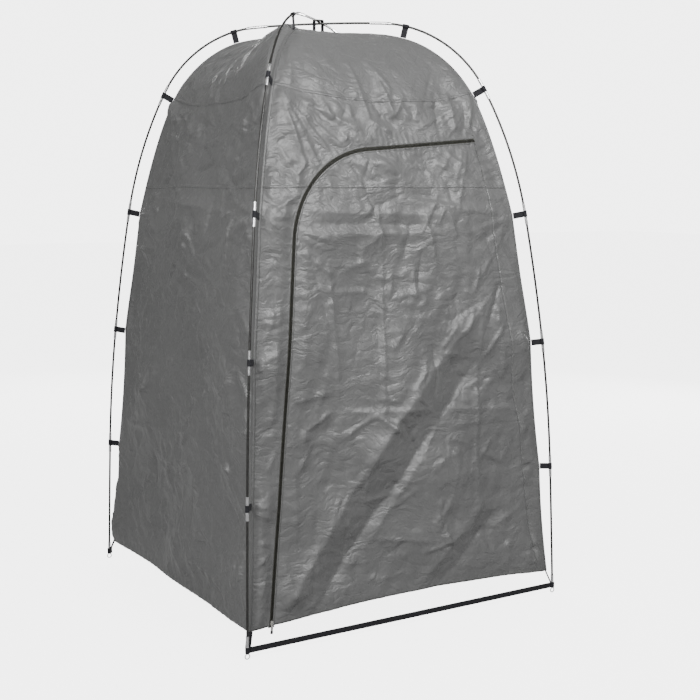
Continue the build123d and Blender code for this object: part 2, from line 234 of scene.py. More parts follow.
# Reach, height and fall angle of a pole some sections up from its foot: each section is one even arc.
def poleAt(sections):
    crownSections = len(poleShape["bends"]) - 0.5
    reach, height, fall = 0.0, poleShape["crownHeight"], 0.0
    left = (crownSections - sections) * poleShape["sectionLength"]
    for number, bend in enumerate(poleShape["bends"]):
        length = poleShape["sectionLength"] * (1.0 if number else 0.5)
        curve = math.radians(bend) / length
        after = fall + curve * min(left, length)
        reach += (math.sin(after) - math.sin(fall)) / curve
        height += (math.cos(after) - math.cos(fall)) / curve
        fall = after
        left -= length
        if left <= 0:
            break
    return reach, height, fall


# Distance from the middle of the tent and height of a wall beside a pole, which stands on the diagonal.
def besidePole(sections):
    reach, height, fall = poleAt(sections)
    share = min(max(sections - poleShape["kneeJoint"], 0.0), 1.0)
    gap = lerp(poleShape["gapKnee"], poleShape["gapWall"], share)
    height -= poleShape["halfDrop"] + gap * math.cos(fall)
    return (reach - gap * math.sin(fall)) / math.sqrt(2), height


# A wall's profile from below its hem to the crown, as distances from the middle and heights.
def profileKnots():
    foot = np.array([(poleAt(0.0)[0] - poleShape["gapFoot"]) / math.sqrt(2), cabin["hemHeight"]])
    knee = np.array(besidePole(poleShape["kneeJoint"]))
    down = (foot - knee) / np.linalg.norm(foot - knee)
    return np.array([foot + down * poleShape["belowHem"], knee] + [besidePole(k) for k in poleShape["knots"]])


# The profile by its run from the hem: a straight lower wall, then one smooth line up to the crown.
def profileTable():
    knots = profileKnots()
    up = knots[1] - knots[0]
    steps = np.linspace(0, 1, poleShape["straightSteps"], endpoint=False)[:, None]
    straight = knots[0] + up * steps
    line = np.vstack([straight, smoothLine(knots[1:], up / np.linalg.norm(up), poleShape["crownSlope"])])
    run = np.concatenate([[0], np.cumsum(np.linalg.norm(np.diff(line, axis=0), axis=1))])
    run -= np.interp(cabin["hemHeight"], line[:, 1], run)
    slope = np.gradient(line, run, axis=0)
    slope /= np.linalg.norm(slope, axis=1)[:, None]
    return run, line[:, 0], line[:, 1], slope[:, 1], -slope[:, 0]


runTable, depthTable, heightTable, outTable, upTable = profileTable()
crownRun = runTable[-1]


def runAt(height):
    return np.interp(height, heightTable, runTable)


def depthAt(run):
    return np.interp(run, runTable, depthTable)


tabRuns = np.concatenate([runAt(np.array(cabin["tabHeights"])), [crownRun]])


# Inward bow of the corner edge between two tabs: a parabola that is zero at each tab.
def scallopAt(run):
    span = np.clip(np.searchsorted(tabRuns, run, side="right") - 1, 0, len(tabRuns) - 2)
    low, high = tabRuns[span], tabRuns[span + 1]
    share = np.clip((run - low) / (high - low), 0, 1)
    full = np.minimum(1, (high - low) / cabin["fullScallopSpan"])
    return cabin["scallop"] * 4 * share * (1 - share) * full


def halfWidthAt(run):
    return depthAt(run) - scallopAt(run)


def lengthAlong(x, s):
    return np.concatenate([[0], np.cumsum(np.hypot(np.diff(x), np.diff(s)))])


def smoothStep(low, high, value):
    share = np.clip((value - low) / (high - low), 0, 1)
    return share * share * (3 - 2 * share)


# The zip's line on the flat front wall, moved into the door by an inset: a straight rise, a quarter bend
# and a straight top.
def zipLine(inset, perPart=doorLine["finePoints"]):
    start, corner, end = (np.array(doorLine[k]) for k in ("start", "corner", "end"))
    rise = (corner - start) / np.linalg.norm(corner - start)
    across = (end - corner) / np.linalg.norm(end - corner)
    intoRise = np.array([rise[1], -rise[0]])
    intoAcross = np.array([across[1], -across[0]])
    join = inset / (1 + intoRise @ intoAcross)
    movedCorner = corner + (intoRise + intoAcross) * join
    movedStart = start + np.array([inset / rise[1], 0])
    movedEnd = end + intoAcross * inset
    radius = doorLine["bend"] - inset
    turn = math.acos(rise @ across)
    reach = radius * math.tan(turn / 2)
    bendStart = movedCorner - rise * reach
    centre = bendStart + intoRise * radius
    angle = np.linspace(0, turn, perPart[1], endpoint=False)[:, None]
    first = movedStart + (bendStart - movedStart) * np.linspace(0, 1, perPart[0], endpoint=False)[:, None]
    bend = centre + (-intoRise * np.cos(angle) + rise * np.sin(angle)) * radius
    bendEnd = movedCorner + across * reach
    last = bendEnd + (movedEnd - bendEnd) * np.linspace(0, 1, perPart[2])[:, None]
    line = np.vstack([first, bend, last])
    return line[:, 0], line[:, 1]


def zipAcross(height, inset):
    x, z = zipLine(inset)
    return np.interp(height, z, x)


def hingeAcross(height):
    (lowX, lowZ), (highX, highZ) = doorLine["hingeBottom"], doorLine["hingeTop"]
    return lowX + (highX - lowX) * (height - lowZ) / (highZ - lowZ)


def heightAt(run):
    return np.interp(run, runTable, heightTable)


zipX, zipZ = zipLine(0.0)
zipRun = runAt(zipZ)
zipStation = lengthAlong(zipX, zipRun)


# Distance to the zip's line and the place along it, for points on the front wall.
def nearZip(x, s):
    aside = np.empty(x.shape)
    along = np.empty(x.shape)
    spaced = slice(None, None, doorLine["searchStep"])
    lineX, lineS, lineT = zipX[spaced], zipRun[spaced], zipStation[spaced]
    flatX, flatS = x.ravel(), s.ravel()
    outAside, outAlong = aside.ravel(), along.ravel()
    batch = doorLine["searchBatch"]
    for low in range(0, len(flatX), batch):
        part = slice(low, low + batch)
        gap = (flatX[part, None] - lineX) ** 2 + (flatS[part, None] - lineS) ** 2
        best = gap.argmin(axis=1)
        outAside[part] = np.sqrt(gap[np.arange(len(best)), best])
        outAlong[part] = lineT[best]
    return outAside.reshape(x.shape), outAlong.reshape(x.shape)


# Wrinkles. Every crease is a row: from (x, z) to (x, z), how far it spreads on each side, and how high it
# stands. x is to the right on a wall seen from outside. A negative height is a valley.
frontCreases = [
    # the wide slack fold that falls from the right hand edge to the foot of the zip
    (0.42, 1.16, -0.16, 0.60, 0.100, 0.040, 0.0125), (0.05, 0.83, -0.56, 0.05, 0.100, 0.040, 0.0150),
    (0.36, 0.93, -0.02, 0.52, 0.030, 0.090, -0.0115), (0.12, 0.67, -0.43, 0.04, 0.032, 0.095, -0.0130),
    # its sharp right hand edge
    (0.16, 0.72, 0.04, 0.54, 0.012, 0.022, 0.0032), (0.05, 0.56, -0.18, 0.27, 0.012, 0.022, 0.0028),
    # a smaller slack fold below it
    (0.36, 0.42, -0.04, 0.05, 0.070, 0.030, 0.0080), (0.42, 0.36, 0.05, 0.02, 0.028, 0.070, -0.0080),
    # packing folds, upright and level
    (-0.27, 1.28, -0.25, 0.76, 0.006, 0.010, 0.0014), (-0.34, 1.30, -0.27, 1.02, 0.006, 0.010, -0.0012),
    (-0.05, 1.30, -0.09, 0.70, 0.006, 0.010, 0.0016), (0.34, 1.12, 0.30, 0.36, 0.008, 0.012, 0.0022),
    (-0.23, 0.32, -0.23, 0.04, 0.006, 0.010, 0.0014), (-0.43, 0.60, -0.44, 0.30, 0.006, 0.010, 0.0012),
    (-0.28, 0.765, 0.12, 0.745, 0.007, 0.010, 0.0022), (0.20, 0.735, 0.50, 0.715, 0.007, 0.010, 0.0018),
    (-0.58, 0.72, -0.49, 0.71, 0.006, 0.008, 0.0016), (-0.15, 0.32, 0.18, 0.265, 0.007, 0.010, 0.0022),
    (-0.27, 1.165, -0.10, 1.16, 0.006, 0.010, 0.0020), (-0.11, 1.16, -0.02, 1.07, 0.006, 0.010, 0.0018),
    # short sharp kinks
    (-0.10, 0.755, -0.26, 0.67, 0.007, 0.014, 0.0030), (-0.12, 0.75, -0.02, 0.67, 0.007, 0.014, 0.0034),
    (-0.28, 0.77, -0.41, 0.70, 0.007, 0.014, 0.0026), (-0.35, 0.69, -0.43, 0.56, 0.007, 0.014, 0.0026),
    (0.14, 0.42, 0.12, 0.34, 0.006, 0.012, 0.0022), (0.33, 0.40, 0.26, 0.28, 0.008, 0.016, 0.0030),
    (0.27, 0.30, 0.14, 0.26, 0.008, 0.014, 0.0026), (0.18, 0.61, 0.26, 0.49, 0.007, 0.014, 0.0024),
    (0.43, 0.52, 0.33, 0.57, 0.007, 0.014, 0.0020), (0.22, 0.56, 0.19, 0.44, 0.006, 0.012, 0.0018),
    # level slack bands beside the top of the zip
    (-0.37, 1.425, 0.24, 1.405, 0.016, 0.024, 0.0030), (-0.37, 1.345, 0.22, 1.350, 0.018, 0.030, 0.0040),
    (-0.33, 1.385, 0.16, 1.375, 0.014, 0.014, -0.0026), (0.0, 1.47, 0.44, 1.40, 0.010, 0.018, 0.0026),
    # the pleat lines that run on from the roof
    (-0.09, 1.93, -0.05, 1.70, 0.008, 0.014, 0.0022), (0.24, 1.83, 0.22, 1.68, 0.016, 0.016, -0.0034),
    (0.29, 1.83, 0.29, 1.69, 0.014, 0.014, 0.0030), (-0.05, 1.72, 0.03, 1.68, 0.010, 0.016, 0.0026),
]
leftCreases = [
    (0.09, 1.10, 0.13, 0.68, 0.007, 0.010, 0.0018), (-0.26, 1.08, -0.25, 0.50, 0.007, 0.010, 0.0014),
    (0.06, 0.62, 0.05, 0.20, 0.007, 0.012, 0.0020), (-0.50, 0.59, 0.13, 0.65, 0.008, 0.012, 0.0026),
    (0.14, 0.65, 0.58, 0.66, 0.007, 0.010, 0.0018), (0.10, 0.66, 0.30, 0.60, 0.007, 0.016, 0.0028),
    (0.28, 0.71, 0.48, 0.48, 0.009, 0.018, 0.0030), (0.36, 0.66, 0.60, 0.36, 0.009, 0.018, 0.0028),
    (0.46, 0.46, 0.60, 0.12, 0.010, 0.020, 0.0030), (-0.44, 1.47, 0.38, 1.41, 0.020, 0.030, 0.0040),
    (0.12, 1.28, -0.20, 1.10, 0.030, 0.030, 0.0050), (0.34, 1.20, 0.10, 1.02, 0.012, 0.020, 0.0024),
    (-0.16, 0.50, 0.14, 0.56, 0.008, 0.016, 0.0030), (0.10, 0.57, 0.20, 0.46, 0.007, 0.014, 0.0026),
    (-0.52, 0.25, -0.24, 0.38, 0.010, 0.020, 0.0032), (-0.46, 0.14, -0.08, 0.35, 0.010, 0.020, 0.0030),
    (0.20, 0.21, 0.42, 0.20, 0.007, 0.014, 0.0028), (0.36, 0.18, 0.50, 0.28, 0.007, 0.014, 0.0028),
    (0.06, 0.34, 0.24, 0.14, 0.008, 0.016, 0.0030), (0.30, 1.10, 0.52, 0.70, 0.040, 0.060, 0.0060),
]
backFolds = 8  # how many of the front's first creases the back wall shares
wallSeeds = {"front": 11, "left": 23, "right": 37, "back": 53}
wallGains = {"front": 1.7, "left": 1.4, "right": 1.3, "back": 1.3}
wallSlack = {"front": 1.0, "left": 1.5, "right": 1.0, "back": 1.0}
crumple = {
    "waves": (16, 0.0062, (0.22, 0.75)),  # count, height, shortest and longest
    "smallWaves": (26, 0.0010, (0.045, 0.14)),
    "smallWavePatches": (5, 1.0, (0.3, 0.8)),
    "facetPatches": (6, 1.0, (0.25, 0.7)),
    "waveSteepness": 0.6,
    "facets": ((0.19, 0.0034), (0.085, 0.0008)),  # size and height
    "facetCells": 64, "facetBend": 0.30, "facetTall": 1.35,
    "creaseGain": 1.65, "sharpGain": 1.7, "sharpWidth": 0.02, "otherWallGain": 0.8,
    "creaseRounding": 0.0025, "creaseReach": 6,
    "cornerFade": 0.035, "crownFade": 0.10, "hemFade": 0.10, "atHem": 0.5, "zipFade": (0.004, 0.055),
}
scatter = {
    "creases": 300, "lengths": (0.03, 0.20), "widths": (0.004, 0.009), "heights": (0.0012, 0.0040),
    "lowest": 0.09, "tallest": 1.74, "crowding": 1.15, "edge": 0.03, "farSide": 1.9,
    "forks": 0.55, "forkTurns": (0.7, 1.6), "forkLengths": (0.4, 0.8), "forkFarSide": 1.7, "forkHeight": 0.8,
}
# The pulls at each tab: its height, their lowest and highest angle below level, the longest, their strength.
tabFans = (
    (1.825, 22, 74, 0.46, 1.0), (1.405, -34, 62, 0.30, 0.9), (0.950, -30, 50, 0.20, 0.5),
    (0.485, -40, 40, 0.16, 0.4), (0.095, -70, -8, 0.26, 0.6),
)
tabPulls = {
    "count": 7, "heights": (0.0024, 0.0060), "widths": (0.006, 0.012), "farSide": 1.6, "start": 0.012,
    "jitter": (0.1, 0.9), "lengths": (0.45, 1.0), "rightStrength": 0.6,
}
# Rows of parallel pulls over the door: count, first place, step, spread, height, its spread, lengths,
# angles below level, widths, heights, and whether some are valleys.
doorPulls = (
    (17, -0.26, 0.040, (-0.012, 0.012), 1.635, (-0.03, 0.012), (0.09, 0.19), (30, 48), (0.006, 0.010),
     (0.0010, 0.0024), False),
    (14, -0.36, 0.052, (-0.02, 0.02), 1.78, (-0.03, 0.02), (0.05, 0.12), (55, 125), (0.008, 0.014),
     (0.0012, 0.0030), True),
)
# Puckers along stitching: height, length, how far they reach, fade at the corner, uneven spacing.
puckers = {
    "seam": (0.0007, 0.019, 0.014, 0.02, (3.0, 11.0)),
    "hem": (0.0008, 0.034, 0.03, 0.03, (2.5, 9.0)),
    "zip": (0.0011, 0.024, 0.030, (0.003, 0.014), (2.2, 17.0)),
}


# Sum of sine waves of random direction, length and phase.
def waveHeight(x, s, draw, count, height, lengths):
    total = np.zeros(x.shape)
    for _ in range(count):
        length = math.exp(draw.uniform(math.log(lengths[0]), math.log(lengths[1])))
        angle = draw.uniform(0, math.pi)
        phase = draw.uniform(0, 2 * math.pi)
        share = height * (length / lengths[1]) ** crumple["waveSteepness"]
        along = x * math.cos(angle) + s * math.sin(angle)
        total += share * np.sin(2 * math.pi * along / length + phase)
    return total / math.sqrt(count / 4)


# Facets with sharp ridges between them: the squared distance to the nearest of a jittered grid of points.
def facetHeight(x, s, draw, size):
    cells = crumple["facetCells"]
    jitter = draw.random((2, cells, cells))
    wobble = crumple["facetBend"] * size
    u = (x + wobble * np.sin(s / size * 1.3 + 1.0)) / size
    v = (s + wobble * np.sin(x / size * 1.1)) / (size * crumple["facetTall"])
    cellU, cellV = np.floor(u).astype(int), np.floor(v).astype(int)
    nearest = np.full(x.shape, 9.0)  # farther than any point can be
    for stepU in (-1, 0, 1):
        for stepV in (-1, 0, 1):
            homeU, homeV = (cellU + stepU) % cells, (cellV + stepV) % cells
            gapU = cellU + stepU + jitter[0, homeU, homeV] - u
            gapV = cellV + stepV + jitter[1, homeU, homeV] - v
            nearest = np.minimum(nearest, gapU**2 + gapV**2)
    return nearest


# Height falls off exponentially to each side of the crease and tapers to nothing at its ends.
def creaseHeight(x, s, rows):
    total = np.zeros(x.shape)
    rounding, reach = crumple["creaseRounding"], crumple["creaseReach"]
    for startX, startZ, endX, endZ, widthLeft, widthRight, height in rows:
        startS, endS = runAt(startZ), runAt(endZ)
        length = math.hypot(endX - startX, endS - startS)
        stepX, stepS = (endX - startX) / length, (endS - startS) / length
        along = ((x - startX) * stepX + (s - startS) * stepS) / length
        aside = (s - startS) * stepX - (x - startX) * stepS
        inside = (along > 0) & (along < 1) & (np.abs(aside) < reach * max(widthLeft, widthRight))
        along, aside = along[inside], aside[inside]
        width = np.where(aside > 0, widthLeft, widthRight)
        taper = np.minimum(1, 5 * along * (1 - along)) ** 0.8
        total[inside] += height * taper * np.exp(-(np.hypot(aside, rounding) - rounding) / width)
    return total


# Random short creases over the whole wall, more of them low down; some fork from their start.
def scatteredCreases(draw):
    rows = []
    shortest, longest = scatter["lengths"]
    for _ in range(scatter["creases"]):
        z = scatter["lowest"] + scatter["tallest"] * draw.random() ** scatter["crowding"]
        half = float(depthAt(runAt(z))) - scatter["edge"]
        x = draw.uniform(-half, half)
        angle = draw.uniform(0, 2 * math.pi)
        length = lerp(shortest, longest, draw.random() ** 2)
        width = draw.uniform(*scatter["widths"])
        height = draw.uniform(*scatter["heights"]) * draw.choice((-1, 1, 1)) * (0.5 + length / longest)
        fork = angle + draw.choice((-1, 1)) * draw.uniform(*scatter["forkTurns"])
        rows.append((x, z, x + math.cos(angle) * length, z + math.sin(angle) * length,
                     width, width * scatter["farSide"], height))
        if draw.random() < scatter["forks"]:
            length *= draw.uniform(*scatter["forkLengths"])
            rows.append((x, z, x + math.cos(fork) * length, z + math.sin(fork) * length,
                         width, width * scatter["forkFarSide"], height * scatter["forkHeight"]))
    return rows


# Straight pulls that fan out from each tab where the cloth hangs on its corner.
def tabCreases(draw):
    rows = []
    count, back = tabPulls["count"], tabPulls["start"]
    for height, lowAngle, highAngle, longest, strength in tabFans:
        for side in (-1, 1):
            cornerX = side * float(halfWidthAt(runAt(height)))
            fullness = 1.0 if side < 0 else tabPulls["rightStrength"]
            for k in range(count):
                turn = (highAngle - lowAngle) * (k + draw.uniform(*tabPulls["jitter"])) / count
                angle = math.radians(lowAngle + turn)
                length = longest * draw.uniform(*tabPulls["lengths"])
                startX, startZ = cornerX - side * back * math.cos(angle), height - back * math.sin(angle)
                width = draw.uniform(*tabPulls["widths"])
                rise = draw.uniform(*tabPulls["heights"]) * strength * fullness
                rows.append((startX, startZ, startX - side * math.cos(angle) * length,
                             startZ - math.sin(angle) * length, width, width * tabPulls["farSide"], rise))
    return rows


# Parallel slanting pulls over the top of the door.
def slantedCreases(draw):
    rows = []
    for count, first, step, aside, height, above, lengths, angles, widths, heights, both in doorPulls:
        for k in range(count):
            x = first + step * k + draw.uniform(*aside)
            z = height + draw.uniform(*above)
            length = draw.uniform(*lengths)
            angle = math.radians(draw.uniform(*angles))
            rise = draw.uniform(*heights) * (draw.choice((-1, 1)) if both else 1)
            rows.append((x, z, x + math.cos(angle) * length, z - math.sin(angle) * length, *widths, rise))
    return rows


wallCreases = {}
for wallName, seed in wallSeeds.items():
    cast = np.random.default_rng(seed)
    rows = scatteredCreases(cast) + tabCreases(cast)
    if wallName == "front":
        for *place, rise in frontCreases:
            sharp = place[4] < crumple["sharpWidth"]
            rows.append((*place, rise * crumple["sharpGain"] if sharp else rise))
        rows += slantedCreases(cast)
    elif wallName == "left":
        rows += leftCreases
    else:
        mirror = -1 if wallName == "right" else 1
        source = frontCreases[:backFolds] if wallName == "back" else leftCreases
        rows += [(mirror * a, b, mirror * c, d, e, f, g * crumple["otherWallGain"])
                 for a, b, c, d, e, f, g in source]
    wallCreases[wallName] = rows


def roofSeamRun(u):
    corner = runAt(cabin["roofSeamCorner"])
    return corner - cabin["roofSeamSag"] * (1 - np.abs(u) ** cabin["roofSeamPower"])


def hemRun(wall, x):
    bow = cabin["frontHemBow"] if wall == "front" else cabin["sideHemBow"]
    half = depthAt(0.0)
    return bow * (1 - np.clip(np.abs(x) / half, 0, 1) ** 2)


# How far the cloth stands off the smooth wall: slack waves, creases and the puckers along stitching,
# all fading out at the corner edges, at the crown and beside the straight zip.
def clothHeight(wall, x, s):
    draw = np.random.default_rng(wallSeeds[wall] + 100)
    corner = np.clip(halfWidthAt(s) - np.abs(x), 0, None)
    hem = s - hemRun(wall, x)
    height = waveHeight(x, s, draw, *crumple["waves"])
    patchy = 0.4 + 0.9 * smoothStep(-1.0, 1.0, waveHeight(x, s, draw, *crumple["smallWavePatches"]))
    height += patchy * waveHeight(x, s, draw, *crumple["smallWaves"])
    for size, rise in crumple["facets"]:
        mask = smoothStep(-0.5, 0.9, waveHeight(x, s, draw, *crumple["facetPatches"]))
        height += wallGains[wall] * rise * (0.25 + mask) * facetHeight(x, s, draw, size)
    height += crumple["creaseGain"] * creaseHeight(x, s, wallCreases[wall])
    height *= wallSlack[wall]
    height *= smoothStep(0.0, crumple["cornerFade"], corner)
    height *= smoothStep(0.0, crumple["crownFade"], crownRun - s)
    height *= lerp(crumple["atHem"], 1.0, smoothStep(0.0, crumple["hemFade"], hem))
    seam = s - runAt(cabin["wallSeamHeight"])
    for aside, place, name in ((seam, x + 0.2 * seam, "seam"), (hem, x, "hem")):
        rise, length, reach, fade, (swing, turns) = puckers[name]
        ripple = np.sin(2 * math.pi * place / length + swing * np.sin(turns * x))
        height += rise * ripple * np.exp(-np.abs(aside) / reach) * smoothStep(0, fade, corner)
    if wall == "front":
        aside, along = nearZip(x, s)
        rise, length, reach, fade, (swing, turns) = puckers["zip"]
        height *= smoothStep(*crumple["zipFade"], aside)
        ripple = np.sin(2 * math.pi * along / length + swing * np.sin(turns * along))
        height += rise * ripple * np.exp(-aside / reach) * smoothStep(*fade, aside)
    return height


# A point of a wall from its place across, its run up the profile from the hem and a lift off the cloth.
def wallPoints(wall, x, s, lift=0.0):
    depth, height = depthAt(s), np.interp(s, runTable, heightTable)
    out, up = np.interp(s, runTable, outTable), np.interp(s, runTable, upTable)
    scallop = scallopAt(s)
    corner = np.clip(depth - scallop - np.abs(x), 0, None)
    off = clothHeight(wall, x, s) + lift
    depth = depth - scallop * np.exp(-(corner / cabin["scallopReach"]) ** 2) + off * out
    height = height + off * up
    turn = wallTurns[wall]
    across, away = [(x, -depth), (depth, x), (-x, depth), (-depth, -x)][turn]
    return np.stack([across, away, height], axis=-1)


# Grid of points, rows going up and columns to the right, into a mesh of quads that face outwards.
def gridMesh(name, points, uv, mergeGap=0.0):
    rows, columns = points.shape[:2]
    index = np.arange(rows * columns).reshape(rows, columns)
    quads = np.stack([index[:-1, :-1], index[:-1, 1:], index[1:, 1:], index[1:, :-1]], axis=-1)
    return meshObject(name, points.reshape(-1, 3), quads.reshape(-1, 4), uv.reshape(-1, 2), mergeGap)


def meshObject(name, points, faces, uv, mergeGap=0.0):
    mesh = bpy.data.meshes.new(name)
    faces = np.asarray(faces)
    mesh.from_pydata(points.tolist(), [], faces.tolist())
    layer = mesh.uv_layers.new(name="UVMap")
    layer.data.foreach_set("uv", uv[faces.ravel()].astype(np.float32).ravel())
    if mergeGap:
        work = bmesh.new()
        work.from_mesh(mesh)
        bmesh.ops.remove_doubles(work, verts=work.verts, dist=mergeGap)
        work.to_mesh(mesh)
        work.free()
    mesh.polygons.foreach_set("use_smooth", np.ones(len(mesh.polygons), bool))
    mesh.update()
    piece = bpy.data.objects.new(name, mesh)
    bpy.context.scene.collection.objects.link(piece)
    return piece


def applyModifiers(piece):
    scene = bpy.context.evaluated_depsgraph_get()
    final = bpy.data.meshes.new_from_object(piece.evaluated_get(scene))
    piece.modifiers.clear()
    piece.data = final
    return piece


# Thickness goes inwards from the surface.
def thicken(piece, thickness):
    solid = piece.modifiers.new("thickness", "SOLIDIFY")
    solid.thickness = thickness
    solid.offset = -1.0
    return applyModifiers(piece)


# Cells across and up so that each is about the grid step.
def cellCount(length):
    return max(2, int(round(length / cabin["gridStep"])))


# A panel between a lower and an upper edge, each given as (u, run) along the same stations, where u is
# the place across as a share of the wall's half width.
def panel(name, wall, lowU, lowS, highU, highS, rows, mergeGap=0.0):
    t = np.linspace(0, 1, rows + 1)[:, None]
    u = lerp(lowU[None, :], highU[None, :], t)
    s = lerp(lowS[None, :], highS[None, :], t)
    x = u * halfWidthAt(s)
    return gridMesh(name, wallPoints(wall, x, s), np.stack([x, s], axis=-1), mergeGap=mergeGap), x, s


# Adds a node, sets its properties, and sets or links its inputs.
def addNode(tree, kind, values=None, **settings):
    made = tree.nodes.new(kind)
    for key, value in settings.items():
        setattr(made, key, value)
    for key, value in (values or {}).items():
        if isinstance(value, bpy.types.NodeSocket):
            tree.links.new(value, made.inputs[key])
        else:
            made.inputs[key].default_value = value
    return made


def addMath(tree, operation, first, second=0.0):
    return addNode(tree, "ShaderNodeMath", {0: first, 1: second}, operation=operation).outputs[0]


def newGroup(name, inputs, outputs):
    tree = bpy.data.node_groups.new(name, "ShaderNodeTree")
    for label, kind, value in inputs:
        socket = tree.interface.new_socket(name=label, in_out="INPUT", socket_type=kind)
        if value is not None:
            socket.default_value = value
    for label in outputs:
        tree.interface.new_socket(name=label, in_out="OUTPUT", socket_type="NodeSocketFloat")
    return tree, tree.nodes.new("NodeGroupInput").outputs, tree.nodes.new("NodeGroupOutput").inputs


vectorSocket, floatSocket = "NodeSocketVector", "NodeSocketFloat"


# Plain weave: the product of two sines, one across each set of threads.
def makeWeave():
    tree, given, result = newGroup(
        "weave", [("Vector", vectorSocket, None), ("Threads", floatSocket, 1500.0)], ["Height"]
    )
    parts = addNode(tree, "ShaderNodeSeparateXYZ", {0: given["Vector"]}).outputs
    turns = addMath(tree, "MULTIPLY", given["Threads"], 2 * math.pi)
    warp = addMath(tree, "SINE", addMath(tree, "MULTIPLY", parts[0], turns))
    weft = addMath(tree, "SINE", addMath(tree, "MULTIPLY", parts[1], turns))
    both = addMath(tree, "MULTIPLY", warp, weft)
    tree.links.new(addMath(tree, "MULTIPLY_ADD", both, 0.5), result["Height"])
    return tree


crumpleLook = {
    "wobble": 7.0, "shift": 0.16, "stretch": (0.8, 0.8, 1.7), "finer": 2.7, "finerShare": 0.35,
    "grain": 60.0, "grainShare": 0.12,
}


# Crumpled coating: the distance to the edges of warped cells at two sizes, plus fine noise.
def makeCrumple():
    tree, given, result = newGroup(
        "crumple", [("Vector", vectorSocket, None), ("Scale", floatSocket, 12.0)], ["Height"]
    )
    wobble = addNode(tree, "ShaderNodeTexNoise",
                     {"Vector": given["Vector"], "Scale": crumpleLook["wobble"], "Detail": 3.0})
    shift = addNode(tree, "ShaderNodeVectorMath",
                    {0: wobble.outputs["Color"], 1: (crumpleLook["shift"],) * 3}, operation="MULTIPLY")
    bent = addNode(tree, "ShaderNodeVectorMath", {0: given["Vector"], 1: shift.outputs[0]}, operation="ADD")
    place = addNode(tree, "ShaderNodeMapping", {"Vector": bent.outputs[0], "Scale": crumpleLook["stretch"]})

    def cells(scale):
        return addNode(tree, "ShaderNodeTexVoronoi", {"Vector": place.outputs[0], "Scale": scale},
                       feature="DISTANCE_TO_EDGE").outputs["Distance"]

    small = cells(addMath(tree, "MULTIPLY", given["Scale"], crumpleLook["finer"]))
    small = addMath(tree, "MULTIPLY", small, crumpleLook["finerShare"])
    grain = addNode(tree, "ShaderNodeTexNoise",
                    {"Vector": given["Vector"], "Scale": crumpleLook["grain"], "Detail": 4.0})
    grain = addMath(tree, "MULTIPLY", grain.outputs["Fac"], crumpleLook["grainShare"])
    total = addMath(tree, "ADD", addMath(tree, "ADD", cells(given["Scale"]), small), grain)
    tree.links.new(total, result["Height"])
    return tree


# Uneven patches: soft noise turned to a mask between 0 and 1.
def makePatches():
    tree, given, result = newGroup(
        "patches", [("Vector", vectorSocket, None), ("Scale", floatSocket, 5.0), ("Low", floatSocket, 0.35),
                    ("High", floatSocket, 0.65)], ["Mask"]
    )
    noise = addNode(tree, "ShaderNodeTexNoise", {"Vector": given["Vector"], "Scale": given["Scale"],
                                                 "Detail": 5.0, "Roughness": 0.55})
    span = addNode(tree, "ShaderNodeMapRange", {"Value": noise.outputs["Fac"], "From Min": given["Low"],
                                                "From Max": given["High"]})
    tree.links.new(span.outputs["Result"], result["Mask"])
    return tree


weaveGroup, crumpleGroup, patchesGroup = makeWeave(), makeCrumple(), makePatches()


def addGroup(tree, group, values):
    return addNode(tree, "ShaderNodeGroup", values, node_tree=group).outputs[0]


def newMaterial(name, **constants):
    material = bpy.data.materials.new(name)
    material.use_nodes = True
    shader = material.node_tree.nodes["Principled BSDF"]
    for key, value in constants.items():
        shader.inputs[key.replace("_", " ")].default_value = value
    return material, material.node_tree, shader


def mixColours(tree, mask, first, second):
    values = {0: mask, 6: (*first, 1), 7: (*second, 1)}
    return addNode(tree, "ShaderNodeMix", values, data_type="RGBA").outputs[2]


def addBump(tree, height, distance, normal=None):
    values = {"Height": height, "Distance": distance}
    if normal is not None:
        values["Normal"] = normal
    return addNode(tree, "ShaderNodeBump", values).outputs["Normal"]


def onObject(tree):
    return addNode(tree, "ShaderNodeTexCoord").outputs["Object"]


def onSurface(tree):
    return addNode(tree, "ShaderNodeUVMap", uv_map="UVMap").outputs["UV"]


def addRoughness(tree, shader, mask, low, high):
    rough = addNode(tree, "ShaderNodeMapRange", {"Value": mask, "To Min": low, "To Max": high})
    tree.links.new(rough.outputs["Result"], shader.inputs["Roughness"])


clothLook = {
    "broad": {"Scale": 2.3, "Low": 0.3, "High": 0.7}, "fine": {"Scale": 46.0, "Low": 0.3, "High": 0.7},
    "broadShare": 0.65, "roughness": (0.37, 0.48), "threads": 1400.0, "threadDepth": 0.00005,
    "crumple": 14.0,
}


# Cloth with a matt coating: patchy grey, fine weave, and a shallow crumple.
def clothMaterial(name, dark, light, crumpleDepth):
    material, tree, shader = newMaterial(name, Sheen_Weight=0.12, Sheen_Roughness=0.5)
    solid, part = onObject(tree), clothLook["broadShare"]
    broad = addGroup(tree, patchesGroup, {"Vector": solid, **clothLook["broad"]})
    fine = addGroup(tree, patchesGroup, {"Vector": solid, **clothLook["fine"]})
    parts = addMath(tree, "MULTIPLY", broad, part), addMath(tree, "MULTIPLY", fine, 1 - part)
    share = addMath(tree, "ADD", *parts)
    weave = addGroup(tree, weaveGroup, {"Vector": onSurface(tree), "Threads": clothLook["threads"]})
    tree.links.new(mixColours(tree, share, dark, light), shader.inputs["Base Color"])
    addRoughness(tree, shader, fine, *clothLook["roughness"])
    crumpled = addGroup(tree, crumpleGroup, {"Vector": solid, "Scale": clothLook["crumple"]})
    normal = addBump(tree, crumpled, crumpleDepth)
    tree.links.new(addBump(tree, weave, clothLook["threadDepth"], normal), shader.inputs["Normal"])
    return material


bandLook = {"wear": 40.0, "weaveShare": 0.25, "wearShare": 0.5, "threadDepth": 0.0002, "rougher": 0.12}


